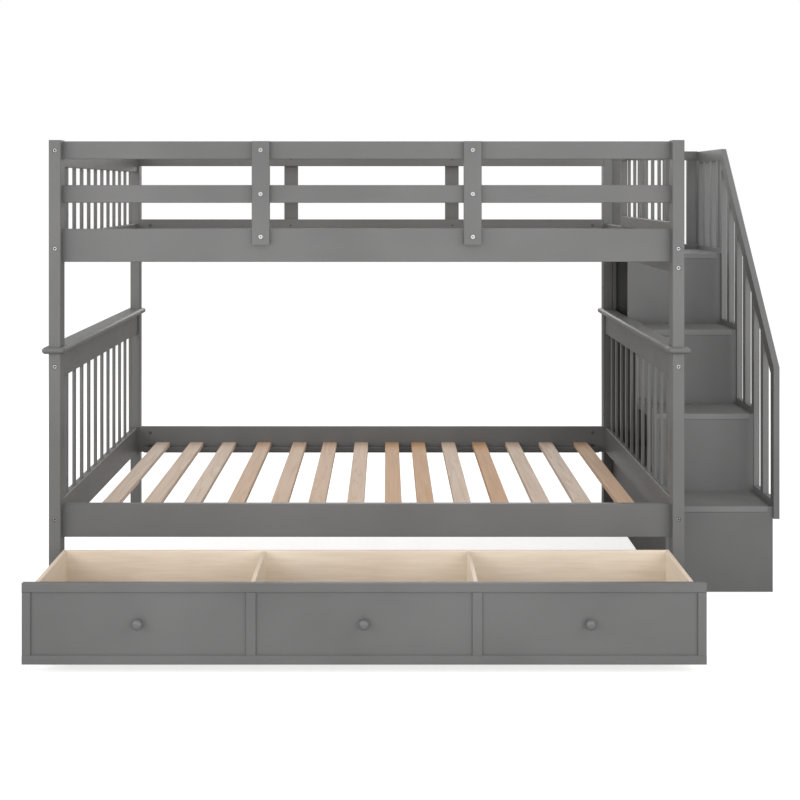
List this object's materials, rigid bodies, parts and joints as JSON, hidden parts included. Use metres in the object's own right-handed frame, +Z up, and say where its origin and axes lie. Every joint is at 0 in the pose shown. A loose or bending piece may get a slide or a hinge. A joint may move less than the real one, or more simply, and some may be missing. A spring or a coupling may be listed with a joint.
{
  "type": "bunk bed",
  "caption": "Bunk bed with slatted ends, guard rails, a storage staircase with a handrail at one end, and a wide drawer on wheels that rolls out from under the lower bed.",
  "frame": {"origin": "on the floor, under the middle of the outline with the drawer drawn out", "axes": "+X along the bed towards the staircase, +Y from the front to the back, +Z up"},
  "size_m": [2.4235, 2.041, 1.526],
  "materials": {
    "grey_paint": "satin grey paint on solid wood",
    "pine": "bare pine",
    "birch_plywood": "clear-lacquered light plywood",
    "steel": "zinc-plated steel",
    "wheel_plastic": "black moulded plastic"
  },
  "bodies": {
    "frame": {"post_lower_front_left": "grey_paint", "post_lower_front_right": "grey_paint", "post_lower_back_left": "grey_paint", "post_lower_back_right": "grey_paint", "post_upper_front_left": "grey_paint", "post_upper_front_right": "grey_paint", "post_upper_back_left": "grey_paint", "post_upper_back_right": "grey_paint", "ledge_left": "grey_paint", "ledge_right": "grey_paint", "lower_left_end_rails": "grey_paint", "lower_left_end_slats": "grey_paint", "lower_right_end_rails": "grey_paint", "lower_right_end_slats": "grey_paint", "upper_left_end_rails": "grey_paint", "upper_left_end_slats": "grey_paint", "upper_right_end_rail": "grey_paint", "stair_hanger_rail": "grey_paint", "entry_guard_frame": "grey_paint", "entry_guard_slats": "grey_paint", "lower_front_rail": "grey_paint", "lower_back_rail": "grey_paint", "upper_front_rail": "grey_paint", "upper_back_rail": "grey_paint", "slat_cleats": "grey_paint", "lower_bed_slats": "pine", "upper_bed_slats": "pine", "front_guard_rails": "grey_paint", "back_guard_rails": "grey_paint", "guard_uprights": "grey_paint", "stair_inner_side": "grey_paint", "stair_outer_side": "grey_paint", "stair_risers": "grey_paint", "stair_treads": "grey_paint", "stair_landing": "grey_paint", "stair_back": "grey_paint", "stair_storage": "grey_paint", "stair_batten": "grey_paint", "handrail": "grey_paint", "handrail_newels": "grey_paint", "handrail_balusters": "grey_paint", "landing_guard_rail": "grey_paint", "landing_guard_slats": "grey_paint", "frame_bolts": "steel", "barrel_nuts": "steel", "upright_bolts": "steel", "dowels_and_screws": "steel"},
    "drawer": {"drawer_front": "grey_paint", "drawer_front_frame": "grey_paint", "drawer_sides": "birch_plywood", "drawer_back": "birch_plywood", "drawer_bottom": "birch_plywood", "drawer_dividers": "birch_plywood", "drawer_knobs": "grey_paint", "wheel_brackets": "steel", "wheel_axles": "steel"},
    "wheel_front_left": {"wheel_front_left": "wheel_plastic"},
    "wheel_front_right": {"wheel_front_right": "wheel_plastic"},
    "wheel_back_left": {"wheel_back_left": "wheel_plastic"},
    "wheel_back_right": {"wheel_back_right": "wheel_plastic"}
  },
  "joints": [
    {"name": "drawer_slide", "type": "slide", "parent": "frame", "child": "drawer", "axis": [0, 1, 0], "range_m": [0, 0.505]},
    {"name": "wheel_front_left_spin", "type": "hinge", "parent": "drawer", "child": "wheel_front_left", "pos_m": [-1.03225, -0.9135, 0.02], "axis": [1, 0, 0], "continuous": true},
    {"name": "wheel_front_right_spin", "type": "hinge", "parent": "drawer", "child": "wheel_front_right", "pos_m": [0.66775, -0.9135, 0.02], "axis": [1, 0, 0], "continuous": true},
    {"name": "wheel_back_left_spin", "type": "hinge", "parent": "drawer", "child": "wheel_back_left", "pos_m": [-1.03225, -0.6615, 0.02], "axis": [1, 0, 0], "continuous": true},
    {"name": "wheel_back_right_spin", "type": "hinge", "parent": "drawer", "child": "wheel_back_right", "pos_m": [0.66775, -0.6615, 0.02], "axis": [1, 0, 0], "continuous": true}
  ],
  "couplings": [
    {"joint": "wheel_front_left_spin", "follows": "drawer_slide", "rad_per_m": -50},
    {"joint": "wheel_front_right_spin", "follows": "drawer_slide", "rad_per_m": -50},
    {"joint": "wheel_back_left_spin", "follows": "drawer_slide", "rad_per_m": -50},
    {"joint": "wheel_back_right_spin", "follows": "drawer_slide", "rad_per_m": -50}
  ]
}
